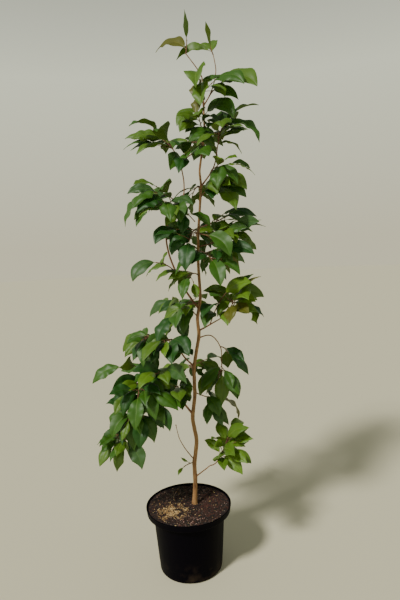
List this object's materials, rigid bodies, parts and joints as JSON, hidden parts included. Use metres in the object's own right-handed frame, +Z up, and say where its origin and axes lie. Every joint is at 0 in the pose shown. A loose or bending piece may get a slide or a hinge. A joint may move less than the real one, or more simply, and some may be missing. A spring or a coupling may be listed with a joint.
{
  "type": "potted stewartia",
  "caption": "Slender young stewartia tree with drooping alternate leaves on thin boughs, planted in a round black nursery pot of soil.",
  "frame": {"origin": "centre of the pot's flat underside", "axes": "+X to the right and -Y to the front as pictured, +Z up along the pot's axis"},
  "size_m": [0.4489, 0.3825, 1.3966],
  "materials": {
    "black_pot_plastic": "satin black moulded pot with fine vertical grain",
    "potting_soil": "coarse brown potting soil with tan granules",
    "trunk_bark": "golden brown young bark, smooth with faint streaks",
    "bough_bark": "reddish brown young bark",
    "leaf_green_1": "satin mid green leaves",
    "leaf_green_2": "satin fresh green leaves",
    "leaf_green_3": "satin deep green leaves"
  },
  "bodies": {
    "root": {"foliage_bright_front": "leaf_green_2", "foliage_foot_shoot": "leaf_green_1", "foliage_fork_front": "leaf_green_1", "foliage_left_below": "leaf_green_1", "foliage_left_cluster_inner": "leaf_green_1", "foliage_left_cluster_near": "leaf_green_2", "foliage_left_cluster_outer": "leaf_green_3", "foliage_left_pair": "leaf_green_3", "foliage_lower_back": "leaf_green_2", "foliage_lower_left_back": "leaf_green_3", "foliage_lower_left_droop": "leaf_green_3", "foliage_lower_left_far": "leaf_green_2", "foliage_lower_left_inner": "leaf_green_1", "foliage_lower_left_middle": "leaf_green_3", "foliage_lower_left_near": "leaf_green_2", "foliage_lower_left_outer": "leaf_green_2", "foliage_lower_left_tip": "leaf_green_1", "foliage_lower_right_tip": "leaf_green_1", "foliage_lower_right_twig": "leaf_green_3", "foliage_middle_back": "leaf_green_1", "foliage_middle_back_left": "leaf_green_3", "foliage_middle_back_right": "leaf_green_1", "foliage_middle_front_left": "leaf_green_2", "foliage_middle_front_right": "leaf_green_3", "foliage_middle_left_front": "leaf_green_3", "foliage_middle_left_inner": "leaf_green_1", "foliage_middle_left_tip": "leaf_green_2", "foliage_middle_right_arc_side": "leaf_green_2", "foliage_middle_right_arc_tip": "leaf_green_1", "foliage_middle_right_near": "leaf_green_3", "foliage_middle_right_tip": "leaf_green_2", "foliage_right_pair": "leaf_green_3", "foliage_right_upper_middle": "leaf_green_1", "foliage_top_back": "leaf_green_3", "foliage_top_left": "leaf_green_1", "foliage_top_long_leaf": "leaf_green_3", "foliage_top_right": "leaf_green_2", "foliage_upper_back": "leaf_green_2", "foliage_upper_front": "leaf_green_3", "foliage_upper_left_leaf": "leaf_green_2", "foliage_upper_left_side": "leaf_green_2", "foliage_upper_left_tip": "leaf_green_1", "foliage_upper_right_inner": "leaf_green_2", "foliage_upper_right_low": "leaf_green_1", "foliage_upper_right_tip": "leaf_green_3", "left_leader": "bough_bark", "lower_left_bough": "bough_bark", "lower_left_fork": "bough_bark", "lower_right_bough": "bough_bark", "middle_left_bough": "bough_bark", "middle_right_arc": "bough_bark", "middle_right_bough": "bough_bark", "pot": "black_pot_plastic", "right_leader": "bough_bark", "soil": "potting_soil", "thin_left_twig": "bough_bark", "trunk": "trunk_bark", "upper_left_bough": "bough_bark", "upper_right_bough": "bough_bark"}
  },
  "joints": []
}
